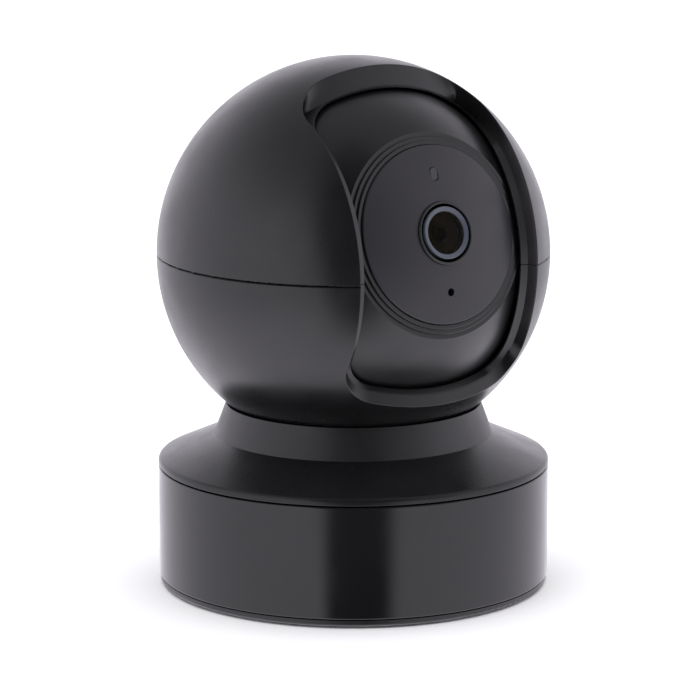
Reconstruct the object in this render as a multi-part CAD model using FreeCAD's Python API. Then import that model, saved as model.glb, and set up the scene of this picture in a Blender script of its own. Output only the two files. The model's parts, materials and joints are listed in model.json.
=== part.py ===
# Indoor pan-and-tilt security camera: a round base with a sloping shoulder, a collar, and a ball
# that turns on the base. The ball has a wide upright opening, and a drum inside it tips up and down
# and carries the camera's face.
#
# Frame: millimetres, +Z up, origin at the centre of the underside, the lens looks towards -Y.
# At rest the drum is tipped up by REST_TILT. Two geared stepper motors turn the ball and the drum.

import FreeCAD
import Part
import os
from math import atan2, cos, pi, radians, sin, sqrt, tan

from FreeCAD import Vector

# ---------------------------------------------------------------- driving dimensions

BASE_R = 44.0  # outside radius of the base, and of the ball
BALL_R = 44.0
BALL_Z = 75.0  # height of the ball's centre, on the pan axis and on the tilt axis
REST_TILT = 14.6  # degrees that the lens looks up at rest

WALL = 2.0
SEAM_Z = 26.9  # top of the base's side wall
SEAM_GAP = 0.3
LIP_Z = 28.6  # top of the shoulder's upright edge
COLLAR_FOOT_R, COLLAR_FOOT_Z = 31.3, 34.1
COLLAR_TOP_R, COLLAR_TOP_Z = 28.75, 41.0
COLLAR_WALL = 1.7
BALL_CLEARANCE = 0.3  # between the turning ball and the fixed collar

FOOT_HEIGHT = 0.5  # how far the rubber foot ring stands out under the base
FOOT_IN, FOOT_OUT, FOOT_GROOVE = 29.4, 34.4, 0.9
BOTTOM_COVER_TOP = 1.8
FLOOR_Z = 3.2  # inner face of the bottom cover

RIM_R = 40.0  # inside radius of the ball's thickened rim, just outside the drum
OPENING_HALF = 23.4  # half the width of the ball's opening
OPENING_BOTTOM = -41.5  # elevation of the opening's lower wall, in degrees
OPENING_TOP_OUTER = 77.7  # elevation of the upper wall at the ball's surface
OPENING_TOP_INNER = 72.6  # and at the rim's inside
INNER_HALF = 20.8  # half the width of the opening through the inner lip
INNER_BOTTOM = -40.0
LIP_R = 40.4  # radius of the inner lip's outer face
LEDGE_HALF = 22.4  # where the side ledges end and the sloping side walls start
LEDGE_OUT, LEDGE_IN = 35.2, 34.5  # distance of the side ledges from the tilt axis
SIDE_SLOPE = 2.0  # how steeply the side walls rise from there, outwards to sideways
TOP_CORNER, BOTTOM_CORNER = 10.0, 7.0  # corner radii of the opening
INNER_TOP_CORNER, INNER_BOTTOM_CORNER = 8.0, 6.0

DRUM_R = 39.3
DRUM_HALF = 23.4  # half the drum's width along the tilt axis
DRUM_WALL = 1.8
DRUM_BACK = -12.0  # the drum's rear edge, along the lens axis
FACE_R = 19.55
FACE_EDGE = 33.7  # distance of the face plate's edge from the tilt axis, along the lens axis
FACE_DOME_R = 70.0
FACE_THICK = 2.0
RING_OUTER_R = 22.6  # the stepped rings round the face plate
RING_COUNT = 3
RING_WIDTH = 1.0
RING_ROUND = 0.18  # rounding of their edges
SEAT_THICK = 1.8  # the ledge behind the face plate
SEAT_IN, SEAT_OUT = FACE_R - 2.6, FACE_R + 1.6
BEZEL_R, BEZEL_IN, BEZEL_TOP = 6.95, 6.3, 36.7
LENS_R, LENS_TOP = 5.7, 37.0
GLASS_R, FUNNEL_DEPTH = 4.7, 0.44  # the front ring slopes in to the glass
APERTURE_R = 1.5
LIGHT_OFFSET, LIGHT_W, LIGHT_H = 13.0, 2.05, 3.1  # indicator light above the lens
MIC_OFFSET, MIC_R = 12.8, 0.85  # microphone hole below the lens

BRACKET_IN, BRACKET_OUT = 25.8, 27.4  # the two tilt brackets, as distances from the middle
AXLE_R = 3.0
RUNNING = 0.05  # radial clearance of a turning fit

PAN_MODULE, PAN_TEETH = 0.6, 50
TILT_MODULE, TILT_TEETH = 0.5, 36
PINION_TEETH = 12
HUB_R, HUB_BORE = 8.0, 5.2
DECK_Z, DECK_THICK = 24.2, 2.0
PAN_GEAR_Z = (28.1, 31.0)
BALL_FLOOR_Z = (33.0, 34.8)  # flat floor inside the bottom of the ball

BOARD_Z, BOARD_THICK = 5.0, 1.6  # power board in the base
USB_W, USB_H, USB_DEEP = 7.5, 2.8, 6.0
RESET_X, RESET_Z, RESET_R, RESET_TRAVEL = -13.5, 9.9, 2.0, 0.5
CARD_ANGLE = 38.0  # degrees round from the back to the memory card slot
CARD_W, CARD_T, CARD_LONG = 11.0, 1.0, 15.0

BIG = 200.0
CENTRE = Vector(0, 0, BALL_Z)
X_AXIS, Y_AXIS, Z_AXIS = Vector(1, 0, 0), Vector(0, 1, 0), Vector(0, 0, 1)

PARTS = {}


# ---------------------------------------------------------------- helpers


def keep(name, *solids):
    """Stores one node, made of one or more separate solids."""
    PARTS[name] = solids[0] if len(solids) == 1 else Part.makeCompound(list(solids))


def rod(r, z0, z1, x=0.0, y=0.0):
    """An upright cylinder."""
    return Part.makeCylinder(r, z1 - z0, Vector(x, y, z0))


def tube(r_out, r_in, z0, z1, x=0.0, y=0.0):
    """An upright tube."""
    return rod(r_out, z0, z1, x, y).cut(rod(r_in, z0 - 1, z1 + 1, x, y))


def block(x0, x1, y0, y1, z0, z1):
    """A box from its limits."""
    return Part.makeBox(x1 - x0, y1 - y0, z1 - z0, Vector(x0, y0, z0))


def ball(r, centre=CENTRE):
    return Part.makeSphere(r, centre)


def turned(points):
    """A solid of revolution about Z from a closed outline of (radius, height) points."""
    wire = Part.makePolygon([Vector(r, 0, z) for r, z in [*points, points[0]]])
    return Part.Face(wire).revolve(Vector(0, 0, 0), Z_AXIS, 360)


def along_x(shape):
    """Turns a shape built along +Z into one along +X through the ball's centre, with +Y kept."""
    shape = shape.copy()
    shape.rotate(Vector(0, 0, 0), Y_AXIS, 90)
    shape.translate(CENTRE)
    return shape


def on_lens_axis(shape):
    """Moves a shape from the drum's own frame, +Z out of the lens and +Y up the face, into place."""
    shape = shape.copy()
    shape.rotate(Vector(0, 0, 0), X_AXIS, 90 - REST_TILT)
    shape.translate(CENTRE)
    return shape


def four_places(x, y):
    """The corners of a rectangle about the middle."""
    return [(side_x * x, side_y * y) for side_x in (-1, 1) for side_y in (-1, 1)]


def spun(shape, angle):
    """A copy turned about the pan axis."""
    shape = shape.copy()
    shape.rotate(Vector(0, 0, 0), Z_AXIS, angle)
    return shape


def slot_hole(w, h, z0, z1, y=0.0):
    """An upright oval bar, w wide in X and h long in Y."""
    r = w / 2
    straight = h / 2 - r
    bar = block(-r, r, y - straight, y + straight, z0, z1)
    for end in (-straight, straight):
        bar = bar.fuse(rod(r, z0, z1, 0, y + end))
    return bar.removeSplitter()


def screw(x, y, z_head, length, r=1.1, head_r=2.0, head_h=1.3, up=False):
    """A pan-head screw with a cross recess. The head's top is at z_head; up=True points the head down."""
    head = rod(head_r, z_head - head_h, z_head, x, y)
    top_edges = [e for e in head.Edges if e.BoundBox.ZMin > z_head - 1e-6]
    head = head.makeFillet(head_h * 0.35, top_edges)
    shank = rod(r, z_head - head_h - length, z_head - head_h, x, y)
    low, high = z_head - head_h * 0.55, z_head + 1
    arm, half = head_r * 0.62, head_r * 0.15
    cross = block(x - arm, x + arm, y - half, y + half, low, high)
    cross = cross.fuse(block(x - half, x + half, y - arm, y + arm, low, high))
    made = head.fuse(shank).removeSplitter().cut(cross)
    if up:
        made.rotate(Vector(x, y, z_head), X_AXIS, 180)
    return made


# ---------------------------------------------------------------- gears


def gear_face(module, teeth, backlash=0.1, addendum=0.9, dedendum=1.2):
    """A flat spur gear with involute flanks, one tooth centred on +X."""
    pressure = radians(20)
    pitch_r = module * teeth / 2
    base_r = pitch_r * cos(pressure)
    tip_r = pitch_r + addendum * module
    root_r = pitch_r - dedendum * module
    half_at_pitch = pi / (2 * teeth) - backlash / (2 * pitch_r)
    involute = lambda a: tan(a) - a
    start_r = max(root_r, base_r)

    def half_angle(r):
        return half_at_pitch + involute(pressure) - involute(acos_safe(base_r / r))

    radii = [start_r + (tip_r - start_r) * k / 3 for k in range(4)]
    step = 2 * pi / teeth

    def at(r, angle):
        return Vector(r * cos(angle), r * sin(angle), 0)

    edges = []
    for n in range(teeth):
        middle = n * step
        up = [at(r, middle - half_angle(r)) for r in radii]
        down = [at(r, middle + half_angle(r)) for r in reversed(radii)]
        foot, next_foot = middle + half_angle(start_r), middle + step - half_angle(start_r)
        for side in (up, down):
            curve = Part.BSplineCurve()
            curve.interpolate(side)
            edges.append(curve.toShape())
            if side is up:
                edges.append(Part.Arc(up[-1], at(tip_r, middle), down[0]).toShape())
        root = [at(root_r, foot), at(root_r, (foot + next_foot) / 2), at(root_r, next_foot)]
        if start_r > root_r:
            edges.append(Part.makeLine(down[-1], root[0]))
        edges.append(Part.Arc(*root).toShape())
        if start_r > root_r:
            edges.append(Part.makeLine(root[2], at(start_r, next_foot)))
    return Part.Face(Part.Wire(Part.__sortEdges__(edges)))


def acos_safe(value):
    """Arc cosine that allows for rounding at 1."""
    return atan2(sqrt(max(0.0, 1 - value * value)), value)


def gear(module, teeth, z0, z1, bore, turn=0.0):
    """A spur gear from z0 to z1 with a round bore, turned by some degrees."""
    face = gear_face(module, teeth)
    face.rotate(Vector(0, 0, 0), Z_AXIS, turn)
    face.translate(Vector(0, 0, z0))
    solid = face.extrude(Vector(0, 0, z1 - z0))
    return solid.cut(rod(bore, z0 - 1, z1 + 1)) if bore else solid


def centre_distance(module, teeth):
    return module * (teeth + PINION_TEETH) / 2


# ---------------------------------------------------------------- the base

SCREW_CIRCLE = 39.0
SCREW_ANGLES = (20, 160, 200, 340)
KEYHOLE_X, KEYHOLE_Y = 19.0, -14.0
KEYHOLE_HEAD_R, KEYHOLE_SHANK_R, KEYHOLE_RUN = 4.2, 2.2, 8.0
BOARD_POSTS = ((-17, 19), (8, 29), (24, 19))


def polar(r, angle):
    return r * cos(radians(angle)), r * sin(radians(angle))


def usb_hole():
    """The recess in the back wall that lets a plug's moulded end reach the power socket."""
    w, h = 11.4, 7.6
    z = BOARD_Z + BOARD_THICK + USB_H / 2
    hole = block(-w / 2, w / 2, BASE_R - 6, BASE_R + 2, z - h / 2, z + h / 2)
    edges = [e for e in hole.Edges if e.BoundBox.YLength > 7]
    return hole.makeFillet(1.6, edges)


def card_slot():
    """The slot for the memory card, in its own frame at the back."""
    z = BOARD_Z + BOARD_THICK + 1.2
    w, h = CARD_W + 1.4, CARD_T + 1.2
    slot = block(-w / 2, w / 2, BASE_R - 8, BASE_R + 2, z - h / 2, z + h / 2)
    scoop = Part.makeCylinder(5.0, 6, Vector(0, BASE_R + 3.6, z - 3))
    return spun(slot.fuse(scoop), -CARD_ANGLE)


def make_base_shell():
    wall = tube(BASE_R, BASE_R - WALL, BOTTOM_COVER_TOP + 0.25, SEAM_Z)
    outer_edges = [e for e in wall.Edges if abs(e.BoundBox.XLength - 2 * BASE_R) < 1e-3]
    wall = wall.makeFillet(0.3, outer_edges)
    ledge = tube(BASE_R - WALL + 0.5, BASE_R - 4.6, DECK_Z - 1.5, DECK_Z)
    shell = wall.fuse(ledge)
    for angle in SCREW_ANGLES:
        x, y = polar(SCREW_CIRCLE, angle)
        boss = rod(3.4, FLOOR_Z + 0.1, 14.0, x, y).common(rod(BASE_R - 1, 0, 30))
        shell = shell.fuse(boss).cut(rod(1.15, 0, 12.5, x, y))
    button_hole = Part.makeCylinder(RESET_R + 0.15, 12, Vector(RESET_X, BASE_R - 10, RESET_Z), Y_AXIS)
    shell = shell.cut(usb_hole()).cut(card_slot()).cut(button_hole)
    keep("base_shell", shell.removeSplitter())


def make_base_top_cover():
    under = 1.8
    edge_r, round_r = BASE_R, 0.9
    slope = atan2(COLLAR_FOOT_Z - LIP_Z, BASE_R - COLLAR_FOOT_R)
    seam = SEAM_Z + SEAM_GAP
    skirt_r = BASE_R - WALL - 0.15
    inner_r = 25.0
    outline = [
        (edge_r, seam),
        (edge_r, LIP_Z),
        (COLLAR_FOOT_R, COLLAR_FOOT_Z),
        (inner_r, COLLAR_FOOT_Z),
        (inner_r, COLLAR_FOOT_Z - under),
        (COLLAR_FOOT_R - under * tan(slope / 2), COLLAR_FOOT_Z - under),
        (skirt_r - 1.2, LIP_Z - 0.6),
        (skirt_r - 1.2, DECK_Z + DECK_THICK),
        (skirt_r, DECK_Z + DECK_THICK),
        (skirt_r, seam),
    ]
    cover = turned(outline)
    rim = [
        e
        for e in cover.Edges
        if abs(e.BoundBox.XLength - 2 * edge_r) < 1e-3 and abs(e.BoundBox.ZMax - LIP_Z) < 1e-3
    ]
    cover = cover.makeFillet(round_r, rim)
    low = [
        e
        for e in cover.Edges
        if abs(e.BoundBox.XLength - 2 * edge_r) < 1e-3 and abs(e.BoundBox.ZMax - seam) < 1e-3
    ]
    keep("base_top_cover", cover.makeFillet(0.25, low))


def make_neck_collar():
    """A short cone that stands on the shoulder and follows the ball with a small gap."""
    outline = [
        (COLLAR_FOOT_R, COLLAR_FOOT_Z),
        (COLLAR_TOP_R, COLLAR_TOP_Z),
        (COLLAR_TOP_R - COLLAR_WALL, COLLAR_TOP_Z),
        (COLLAR_FOOT_R - COLLAR_WALL - 0.6, COLLAR_FOOT_Z),
    ]
    collar = turned(outline).cut(ball(BALL_R + BALL_CLEARANCE))
    keep("neck_collar", collar)


def make_bottom_cover():
    r = BASE_R - 0.25
    plate = rod(r, FOOT_HEIGHT, BOTTOM_COVER_TOP)
    low = [e for e in plate.Edges if e.BoundBox.ZMax < FOOT_HEIGHT + 1e-6]
    plate = plate.makeFillet(0.5, low)
    inner = rod(BASE_R - WALL - 0.15, BOTTOM_COVER_TOP, FLOOR_Z)
    cover = plate.fuse(inner)
    groove = tube(FOOT_OUT + 0.1, FOOT_IN - 0.1, FOOT_HEIGHT - 1, FOOT_HEIGHT + FOOT_GROOVE)
    cover = cover.cut(groove)
    for angle in SCREW_ANGLES:
        x, y = polar(SCREW_CIRCLE, angle)
        cover = cover.cut(rod(1.3, 0, 6, x, y)).cut(rod(2.3, 0, FOOT_HEIGHT + 1.4, x, y))
    for side in (-1, 1):
        x = side * KEYHOLE_X
        head = rod(KEYHOLE_HEAD_R, 0, 6, x, KEYHOLE_Y)
        end = KEYHOLE_Y + KEYHOLE_RUN
        run = block(x - KEYHOLE_SHANK_R, x + KEYHOLE_SHANK_R, KEYHOLE_Y, end, 0, 6)
        cover = cover.cut(head.fuse(run).fuse(rod(KEYHOLE_SHANK_R, 0, 6, x, end)))
        for row in range(5):
            vent = slot_hole(1.4, 12.0, 0, 6, 9.0)
            cover = cover.cut(vent.translated(Vector(side * (11 + row * 3.2), 0, 0)))
    for x, y in BOARD_POSTS:
        cover = cover.fuse(tube(2.6, 1.0, FLOOR_Z, BOARD_Z, x, y))
    keep("bottom_cover", cover.removeSplitter())
    foot = tube(FOOT_OUT, FOOT_IN, 0, FOOT_HEIGHT + FOOT_GROOVE)
    low = [e for e in foot.Edges if e.BoundBox.ZMax < 1e-6]
    keep("foot_ring", foot.makeFillet(0.25, low))
    heads = []
    for angle in SCREW_ANGLES:
        x, y = polar(SCREW_CIRCLE, angle)
        made = screw(x, y, FOOT_HEIGHT + 0.1, 7.0, r=1.1, head_r=2.1, up=True)
        heads.append(made)
    keep("bottom_cover_screws", *heads)


def make_deck():
    """The plate in the base that carries the pan bearing and the pan motor."""
    deck = rod(BASE_R - WALL - 0.25, DECK_Z, DECK_Z + DECK_THICK)
    boss = rod(12.5, DECK_Z - 4.2, DECK_Z + DECK_THICK + 1.0)
    deck = deck.fuse(boss).cut(rod(10.5, 0, 60))
    deck = deck.cut(rod(4.6, DECK_Z - 1, DECK_Z + 6, PAN_SHAFT_X, 0))
    for angle in (40, 90, 140, -40, -90, -140):
        x, y = polar(29.0, angle)
        deck = deck.cut(rod(6.5, DECK_Z - 1, DECK_Z + 4, x, y))
    for y in (-16.0, 16.0):
        deck = deck.cut(rod(1.2, DECK_Z - 1, DECK_Z + 4, MOTOR_X, y))
    keep("pan_deck", deck.removeSplitter())


# ---------------------------------------------------------------- pan drive

PAN_SHAFT_X = -centre_distance(PAN_MODULE, PAN_TEETH)
MOTOR_X = PAN_SHAFT_X - 6.6


def stepper(can_r, length, shaft_offset, boss_r, boss_h, ear_span, ear_r=3.2, ear_t=0.8):
    """A geared stepper motor: the can's top face is at z 0, the shaft boss is at x = shaft_offset."""
    can = rod(can_r, -length, 0)
    rims = [e for e in can.Edges if e.BoundBox.ZLength < 1e-6]
    can = can.makeFillet(0.6, rims)
    ears = block(-ear_r, ear_r, -ear_span, ear_span, -ear_t, 0)
    for y in (-ear_span, ear_span):
        ears = ears.fuse(rod(ear_r, -ear_t, 0, 0, y))
    body = can.fuse(ears).fuse(rod(boss_r, -1, boss_h, shaft_offset, 0))
    for y in (-ear_span, ear_span):
        body = body.cut(rod(1.2, -3, 1, 0, y))
    body = body.cut(rod(1.5 + RUNNING, -4, boss_h + 1, shaft_offset, 0))
    plug_side = -1 if shaft_offset > 0 else 1
    lead_box = block(-3.5, 3.5, -2.6, 2.6, -length + 2, -3)
    lead_box.translate(Vector(plug_side * (can_r + 1.2), 0, 0))
    return body.fuse(lead_box).removeSplitter()


def make_pan_drive():
    motor = stepper(12.0, 16.5, PAN_SHAFT_X - MOTOR_X, 4.4, 1.6, 16.0)
    motor.translate(Vector(MOTOR_X, 0, DECK_Z))
    keep("pan_motor", motor)
    keep(
        "pan_motor_screws",
        *[screw(MOTOR_X, y, DECK_Z + DECK_THICK + 1.3, 4.6) for y in (-16.0, 16.0)],
    )
    pinion = gear(PAN_MODULE, PINION_TEETH, PAN_GEAR_Z[0], PAN_GEAR_Z[1], None, 180 / PINION_TEETH)
    shaft = rod(1.5, DECK_Z - 3.5, PAN_GEAR_Z[0] + 0.5)
    pinion = pinion.fuse(shaft).removeSplitter()
    keep("pan_pinion", pinion.translated(Vector(PAN_SHAFT_X, 0, 0)))
    # a tooth of the big gear points at the pinion, which has a gap there
    keep("pan_gear", gear(PAN_MODULE, PAN_TEETH, *PAN_GEAR_Z, HUB_R))
    bush = tube(10.5, HUB_R + RUNNING, DECK_Z - 4.2, DECK_Z + DECK_THICK + 1.0)
    flange_z = DECK_Z + DECK_THICK + 1.0
    keep("pan_bush", bush.fuse(tube(12.4, HUB_R + RUNNING, flange_z, flange_z + 0.8)).removeSplitter())
    ring_z = DECK_Z - 5.4
    keep("pan_retaining_ring", tube(10.2, HUB_R, ring_z, ring_z + 1.0))
    hub = tube(HUB_R, HUB_BORE, ring_z - 1.2, BALL_FLOOR_Z[0])
    hub = hub.fuse(tube(12.0, HUB_BORE, BALL_FLOOR_Z[0] - 1.8, BALL_FLOOR_Z[0])).removeSplitter()
    screws = []
    for angle in (30, 150, 270):
        x, y = polar(10.4, angle)
        hub = hub.cut(rod(1.1, BALL_FLOOR_Z[0] - 3, BALL_FLOOR_Z[0] + 1, x, y))
        head = turned([(0, 0), (0, -3.4), (1.05, -3.4), (1.05, -1.1), (2.1, 0)])
        screws.append(head.translated(Vector(x, y, BALL_FLOOR_Z[1] - 0.05)))
    keep("pan_hub", hub)
    keep("hub_screws", *screws)
    cable = rod(2.2, ring_z - 6, BALL_FLOOR_Z[1] - 0.4)
    keep("head_harness", cable.fuse(block(-4.2, 4.2, -2.4, 2.4, ring_z - 9.5, ring_z - 6)).removeSplitter())


# ---------------------------------------------------------------- base electronics


def at_card(shape):
    return spun(shape, -CARD_ANGLE)


def make_base_electronics():
    top = BOARD_Z + BOARD_THICK
    board = block(-20, 30, 16.0, 35.4, BOARD_Z, top)
    board = board.common(rod(BASE_R - WALL - 1.0, 0, 20))
    for x, y in BOARD_POSTS:
        board = board.cut(rod(1.1, 0, 20, x, y))
    keep("power_board", board.removeSplitter())
    socket = block(-USB_W / 2, USB_W / 2, 42.9 - USB_DEEP, 42.9, top, top + USB_H)
    long_edges = [e for e in socket.Edges if e.BoundBox.YLength > USB_DEEP - 0.1]
    socket = socket.makeFillet(0.7, long_edges)
    hollow = block(-3.4, 3.4, 42.9 - USB_DEEP + 1.5, 43.5, top + 0.45, top + USB_H - 0.45)
    tongue = block(-2.2, 2.2, 42.9 - USB_DEEP + 1.0, 42.2, top + 1.5, top + 2.0)
    feet = block(-USB_W / 2, USB_W / 2, 34.0, 42.9 - USB_DEEP, top, top + 1.2)
    keep("usb_socket", socket.cut(hollow).fuse(tongue).fuse(feet).removeSplitter())
    parts = [
        block(-14, -8, 20, 26, top, top + 3.0),
        rod(3.1, top, top + 7.5, -3.0, 22.0),
        block(3.5, 9.5, 18.5, 24.5, top, top + 1.2),
        block(11, 15.5, 16.5, 19.5, top, top + 4.0),
    ]
    keep("power_board_parts", *parts)
    switch = block(RESET_X - 3, RESET_X + 3, 29.6, 33.4, top, top + 5.2)
    keep("reset_switch", switch)
    stem_start = 33.4 + RESET_TRAVEL + 0.15
    wall_y = sqrt(BASE_R**2 - RESET_X**2)
    length = wall_y - 0.5 - stem_start
    button = Part.makeCylinder(RESET_R, length, Vector(RESET_X, stem_start, RESET_Z), Y_AXIS)
    front = [e for e in button.Edges if e.BoundBox.YMin > wall_y - 0.6]
    button = button.makeFillet(0.4, front)
    flange = Part.makeCylinder(RESET_R + 0.9, 0.8, Vector(RESET_X, stem_start + 0.3, RESET_Z), Y_AXIS)
    keep("reset_button", button.fuse(flange).removeSplitter())
    z = top + 1.2
    tray_w, tray_deep, room_deep = CARD_W + 3.0, 13.0, 11.5
    tray_front = 39.8
    tray = block(-tray_w / 2, tray_w / 2, tray_front - tray_deep, tray_front, top + 0.05, z + 1.5)
    room_w, room_t = CARD_W / 2 + 0.15, CARD_T / 2 + 0.1
    room = block(-room_w, room_w, tray_front - room_deep, tray_front + 1, z - room_t, z + room_t)
    keep("card_socket", at_card(tray.cut(room)))
    inner_end = tray_front - room_deep + 0.2
    card = block(-CARD_W / 2, CARD_W / 2, inner_end, inner_end + CARD_LONG, z - CARD_T / 2, z + CARD_T / 2)
    right = CARD_W / 2 + 1
    cut_corner = [(right, inner_end - 1), (right, inner_end + 3), (right - 4, inner_end - 1)]
    wire = Part.makePolygon([Vector(x, y, 0) for x, y in [*cut_corner, cut_corner[0]]])
    card = card.cut(Part.Face(wire).extrude(Vector(0, 0, 30)))
    keep("memory_card", at_card(card))


# ---------------------------------------------------------------- the ball's shells


def direction(elevation, r):
    """A point in the plane x = 0 at an elevation above the tilt axis's horizon, towards the front."""
    a = radians(elevation)
    return Vector(0, -r * cos(a), r * sin(a) + BALL_Z)


def beyond(elevation, side, half_width, corner):
    """The space on one side of a radial plane, as wide as the opening, with its long edges rounded.
    side is 1 for what lies in front of the plane and -1 for what lies above it."""
    run = direction(elevation, 1) - CENTRE
    across = X_AXIS.cross(run) * side
    start, reach = CENTRE - run * BIG, run * 2 * BIG
    x0, x1 = Vector(-half_width, 0, 0), Vector(half_width, 0, 0)
    wire = Part.makePolygon([start + x0, start + x1, start + x1 + reach, start + x0 + reach, start + x0])
    space = Part.Face(wire).extrude(across * BIG)

    def on_plane(edge):
        ends = [v.Point for v in edge.Vertexes]
        level = all(abs((end - CENTRE).dot(across)) < 1e-6 for end in ends)
        return level and abs(ends[1].x - ends[0].x) < 1e-6

    return space.makeFillet(corner, [e for e in space.Edges if on_plane(e)])


def opening(half_width, bottom, top, bottom_corner, top_corner):
    """The wedge between two radial planes, as wide as the opening."""
    return beyond(bottom, -1, half_width, bottom_corner).common(beyond(top, 1, half_width, top_corner))


def side_ledges():
    """What stays inside the wide part of the opening, about the tilt axis: a drum with a lower middle, two
    side ledges and, outside them, the sloping side walls."""
    beyond_edge = OPENING_HALF + 1
    wall_r = LEDGE_OUT + (beyond_edge - LEDGE_HALF) * SIDE_SLOPE
    half = [(0, beyond_edge), (wall_r, beyond_edge), (LEDGE_OUT, LEDGE_HALF), (LEDGE_IN, INNER_HALF)]
    return along_x(turned([*[(r, -x) for r, x in half], *reversed(half)]))


def top_slope():
    """The cone under the opening's sloping top wall, square to the radial plane of its outer edge."""
    outward = direction(OPENING_TOP_OUTER, 1) - CENTRE
    forward = X_AXIS.cross(outward)
    drop = radians(OPENING_TOP_OUTER - OPENING_TOP_INNER)
    slope = (BALL_R - RIM_R * cos(drop)) / (RIM_R * sin(drop))
    before, after = 1.0, 6.0
    return Part.makeCone(
        BALL_R + before * slope, BALL_R - after * slope, before + after, CENTRE - forward * before, forward
    )


def opening_cutters():
    """Both steps of the opening: the wide recess down to the lip, and the narrower hole through it."""
    wide = opening(OPENING_HALF, OPENING_BOTTOM, OPENING_TOP_OUTER, BOTTOM_CORNER, TOP_CORNER)
    wide = wide.cut(side_ledges()).cut(top_slope()).cut(ball(LIP_R))
    narrow = opening(INNER_HALF, INNER_BOTTOM, OPENING_TOP_INNER, INNER_BOTTOM_CORNER, INNER_TOP_CORNER)
    return wide, narrow


def rim_zone():
    """Where the ball's wall is thick: round the opening."""
    half = OPENING_HALF + 2.2
    a0, a1 = radians(OPENING_BOTTOM - 5), radians(OPENING_TOP_OUTER + 5)
    far = 90
    points = [Vector(-half, 0, BALL_Z)]
    for a in (a0, 0, radians(45), a1):
        points.append(Vector(-half, -far * cos(a), BALL_Z + far * sin(a)))
    points.append(points[0])
    return Part.Face(Part.makePolygon(points)).extrude(Vector(2 * half, 0, 0))


GRILLE_ELEVATION = -19.0  # the speaker looks out of the back of the ball, below its middle
GRILLE_PITCH, GRILLE_RINGS, GRILLE_HOLE_R = 2.3, 3, 0.6
MAIN_BOARD_OUT = 33.1  # outer face of the main board, from the ball's centre towards the grille
BOARD_STAKE_X, BOARD_STAKE_Y = 18.5, 8.0


def from_back(shape):
    """Moves a shape from its own frame, +Z outwards, to the back of the ball at the grille."""
    shape = shape.copy()
    shape.rotate(Vector(0, 0, 0), X_AXIS, -90 + GRILLE_ELEVATION)
    shape.translate(CENTRE)
    return shape


def grille_holes():
    holes = [rod(GRILLE_HOLE_R, 38, 48)]
    for ring in range(1, GRILLE_RINGS + 1):
        for n in range(6 * ring):
            x, y = polar(ring * GRILLE_PITCH, n * 60 / ring)
            holes.append(rod(GRILLE_HOLE_R, 38, 48, x, y))
    return from_back(Part.makeCompound(holes))


def seam_groove():
    """A fine V round the joint of the two half shells."""
    depth, half = 0.3, 0.92
    return turned([(BALL_R - depth, BALL_Z), (BALL_R + 1, BALL_Z - half), (BALL_R + 1, BALL_Z + half)])


def make_ball_shells():
    thin = ball(BALL_R).cut(ball(BALL_R - WALL))
    rim = ball(BALL_R - WALL + 0.5).cut(ball(RIM_R)).common(rim_zone())
    shell = thin.fuse(rim)
    wide, narrow = opening_cutters()
    shell = shell.cut(wide).cut(narrow).removeSplitter()
    below = block(-BIG, BIG, -BIG, BIG, -BIG, BALL_FLOOR_Z[0])
    floor = ball(BALL_R - 0.5).common(rod(BIG, *BALL_FLOOR_Z))
    shell = shell.cut(below)
    shell = shell.cut(seam_groove())
    upper = shell.common(block(-BIG, BIG, -BIG, BIG, BALL_Z + 0.08, BIG))
    lower = shell.common(block(-BIG, BIG, -BIG, BIG, -BIG, BALL_Z - 0.08))
    lower = lower.fuse(floor).removeSplitter()
    lower = lower.cut(rod(HUB_BORE, 0, 40))
    for angle in (30, 150, 270):
        x, y = polar(10.4, angle)
        hole = turned([(0, 0.2), (0, -6), (1.1, -6), (1.1, -1.1), (2.2, 0), (2.2, 0.2)])
        lower = lower.cut(hole.translated(Vector(x, y, BALL_FLOOR_Z[1])))
    lower = lower.fuse(locating_ring()).removeSplitter().cut(grille_holes())
    for x, y in four_places(BRACKET_SCREW_X, BRACKET_SCREW_Y):
        boss = rod(2.8, 40, BRACKET_FOOT_Z, x, y).common(ball(BALL_R - 1))
        lower = lower.fuse(boss).cut(rod(0.9, BRACKET_FOOT_Z - 7, BRACKET_FOOT_Z + 1, x, y))
    for x, y in four_places(BOARD_STAKE_X, BOARD_STAKE_Y):
        tip = rod(1.1, MAIN_BOARD_OUT - 2.3, MAIN_BOARD_OUT, x, y)
        stake = rod(1.8, MAIN_BOARD_OUT, 44, x, y).fuse(tip)
        lower = lower.fuse(from_back(stake).common(ball(BALL_R - 1)))
    keep("ball_upper_shell", biggest(upper))
    keep("ball_lower_shell", biggest(lower.removeSplitter()))


def biggest(shape):
    """The largest solid of a shape. A cut may leave crumbs, but nothing of any size is lost unseen."""
    solids = sorted(shape.Solids, key=lambda s: s.Volume)
    for lost in solids[:-1]:
        print(f"left out a loose piece of {lost.Volume:.2f} mm3 at {lost.CenterOfMass}")
    return solids[-1]


def locating_ring():
    """The lower shell's thin ring that centres the upper shell."""
    low, inner_r = BALL_Z - 2.0, BALL_R - WALL - 1.2
    ring = tube(BALL_R - WALL - 0.08, inner_r, low, BALL_Z + 1.6).common(ball(BALL_R - WALL - 0.06))
    ring = ring.fuse(tube(BALL_R - 0.8, inner_r, low, BALL_Z - 0.6).common(ball(BALL_R - 0.8)))
    front = block(-OPENING_HALF - 2.6, OPENING_HALF + 2.6, -BIG, 0, 0, BIG)
    return ring.cut(front)


# ---------------------------------------------------------------- tilt drive

BRACKET_FOOT_Z = 55.0
BRACKET_SCREW_X, BRACKET_SCREW_Y = 31.2, 9.0
TILT_PINION_Y = centre_distance(TILT_MODULE, TILT_TEETH)
TILT_MOTOR_Y = TILT_PINION_Y - 5.6


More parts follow.
